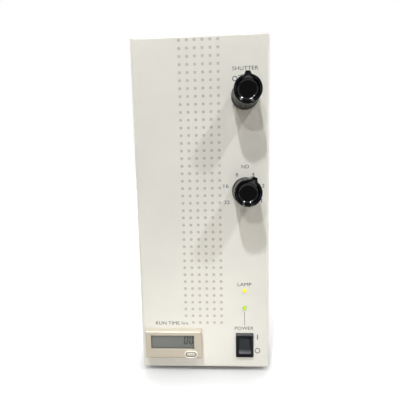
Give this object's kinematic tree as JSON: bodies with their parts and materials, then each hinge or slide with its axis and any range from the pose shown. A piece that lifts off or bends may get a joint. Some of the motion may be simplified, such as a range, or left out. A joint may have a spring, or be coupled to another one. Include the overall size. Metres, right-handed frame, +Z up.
{
  "type": "fibre optic illuminator",
  "caption": "Upright bench light source for a fibre light guide: shutter knob, stepped neutral-density knob, hour counter, rocker switch, rear guide port and fan.",
  "frame": {"origin": "bottom centre of the whole instrument, on the surface that its feet stand on", "axes": "+X right seen from the front, +Y from the front panel to the rear panel, +Z up"},
  "size_m": [0.11, 0.328, 0.28],
  "materials": {
    "panel_paint": "fine satin texture",
    "case_paint": "fine satin texture",
    "bare_steel": "zinc plated",
    "bright_steel": "turned",
    "bare_aluminium": "mill finish",
    "black_anodised": "black anodised",
    "brass": "turned",
    "knob_black": "gloss moulded",
    "switch_black": "semi-gloss moulded",
    "counter_beige": "satin moulded",
    "display_glass": "polished",
    "housing_grey": "moulded",
    "fan_black": "moulded",
    "rubber": "matt",
    "gear_white": "acetal",
    "amber_lens": "lit",
    "green_lens": "lit",
    "circuit_green": "lacquered board",
    "filter_glass": "coated",
    "clear_glass": "polished",
    "mirror_coat": "dichroic",
    "ceramic_white": "ceramic",
    "blade_black": "heat-proof black"
  },
  "bodies": {
    "root": {"ballast_module": "black_anodised", "base_plate": "case_paint", "board_standoffs": "bright_steel", "bush_nuts": "brass", "case_cover": "case_paint", "case_screws": "bright_steel", "chassis_rails": "bare_aluminium", "counter_bezel": "counter_beige", "counter_display": "display_glass", "counter_housing": "housing_grey", "fan_guard": "bright_steel", "fan_housing": "fan_black", "fan_screws": "bright_steel", "foot_screws": "bright_steel", "front_bushes": "brass", "front_panel": "panel_paint", "gear_spindles": "bright_steel", "guide_port_collar": "black_anodised", "heat_baffle": "bare_steel", "heat_filter": "clear_glass", "igniter_module": "housing_grey", "indicator_board": "circuit_green", "inlet_pins": "bright_steel", "interlock_switch": "housing_grey", "lamp_burner": "clear_glass", "lamp_carrier": "bare_aluminium", "lamp_led": "amber_lens", "lamp_reflector": "mirror_coat", "lamp_rods": "bright_steel", "lamp_socket": "ceramic_white", "optics_bulkhead": "bare_aluminium", "power_inlet": "fan_black", "power_led": "green_lens", "power_switch_housing": "switch_black", "rear_bushes": "brass", "rear_panel": "case_paint", "rear_panel_screws": "bright_steel", "rubber_feet": "rubber", "shutter_stop_pins": "bright_steel"},
    "shutter": {"shutter_knob": "knob_black", "shutter_knob_cap": "knob_black", "shutter_shaft": "bright_steel", "shutter_hub": "brass", "shutter_blade": "blade_black"},
    "nd_selector": {"nd_knob": "knob_black", "nd_knob_cap": "knob_black", "nd_shaft": "bright_steel", "nd_drive_gear": "brass"},
    "nd_idler": {"nd_idler_gear": "gear_white"},
    "nd_wheel_set": {"nd_wheel": "black_anodised", "nd_wheel_gear": "gear_white", "nd_filters": "filter_glass"},
    "rocker": {"power_rocker": "switch_black"},
    "reset_button": {"counter_reset_button": "counter_beige"},
    "fan_spinner": {"fan_rotor": "fan_black"},
    "hatch": {"lamp_hatch": "case_paint", "hatch_screws": "bright_steel"},
    "plunger": {"interlock_plunger": "ceramic_white"},
    "clamp_screw": {"guide_clamp_screw": "bright_steel"},
    "fuse_holder": {"fuse_drawer": "fan_black"}
  },
  "joints": [
    {"name": "shutter_turn", "type": "hinge", "parent": "root", "child": "shutter", "pos_m": [0.0353, -0.14, 0.2332], "axis": [0, -1, 0], "range_deg": [0, 30]},
    {"name": "nd_turn", "type": "hinge", "parent": "root", "child": "nd_selector", "pos_m": [0.0353, -0.14, 0.1585], "axis": [0, -1, 0], "range_deg": [-100, 150]},
    {"name": "nd_idler_turn", "type": "hinge", "parent": "root", "child": "nd_idler", "pos_m": [0.02116, 0.0885, 0.17535], "axis": [0, -1, 0], "range_deg": [-180, 120]},
    {"name": "nd_wheel_turn", "type": "hinge", "parent": "root", "child": "nd_wheel_set", "pos_m": [0.0083, 0.0885, 0.19067], "axis": [0, -1, 0], "range_deg": [-120, 180]},
    {"name": "power_rock", "type": "hinge", "parent": "root", "child": "rocker", "pos_m": [0.03405, -0.138, 0.0248], "axis": [1, 0, 0], "range_deg": [0, 18]},
    {"name": "reset_press", "type": "slide", "parent": "root", "child": "reset_button", "axis": [0, 1, 0], "range_m": [0, 0.0008], "stiffness_N_per_m": 800},
    {"name": "fan_spin", "type": "hinge", "parent": "root", "child": "fan_spinner", "pos_m": [0, 0.1355, 0.105], "axis": [0, 1, 0], "continuous": true},
    {"name": "hatch_off", "type": "slide", "parent": "root", "child": "hatch", "axis": [-1, 0, 0], "range_m": [0, 0.06]},
    {"name": "interlock_out", "type": "slide", "parent": "root", "child": "plunger", "axis": [-1, 0, 0], "range_m": [0, 0.003]},
    {"name": "clamp_turn", "type": "hinge", "parent": "root", "child": "clamp_screw", "pos_m": [-0.00492, 0.1585, 0.224], "axis": [0, 0, 1], "range_deg": [0, 720]},
    {"name": "fuse_out", "type": "slide", "parent": "root", "child": "fuse_holder", "axis": [0, 1, 0], "range_m": [0, 0.02]}
  ],
  "couplings": [
    {"joint": "nd_idler_turn", "follows": "nd_turn", "ratio": -1.2},
    {"joint": "nd_wheel_turn", "follows": "nd_turn", "ratio": 1.2},
    {"joint": "interlock_out", "follows": "hatch_off", "ratio": 0.05}
  ]
}
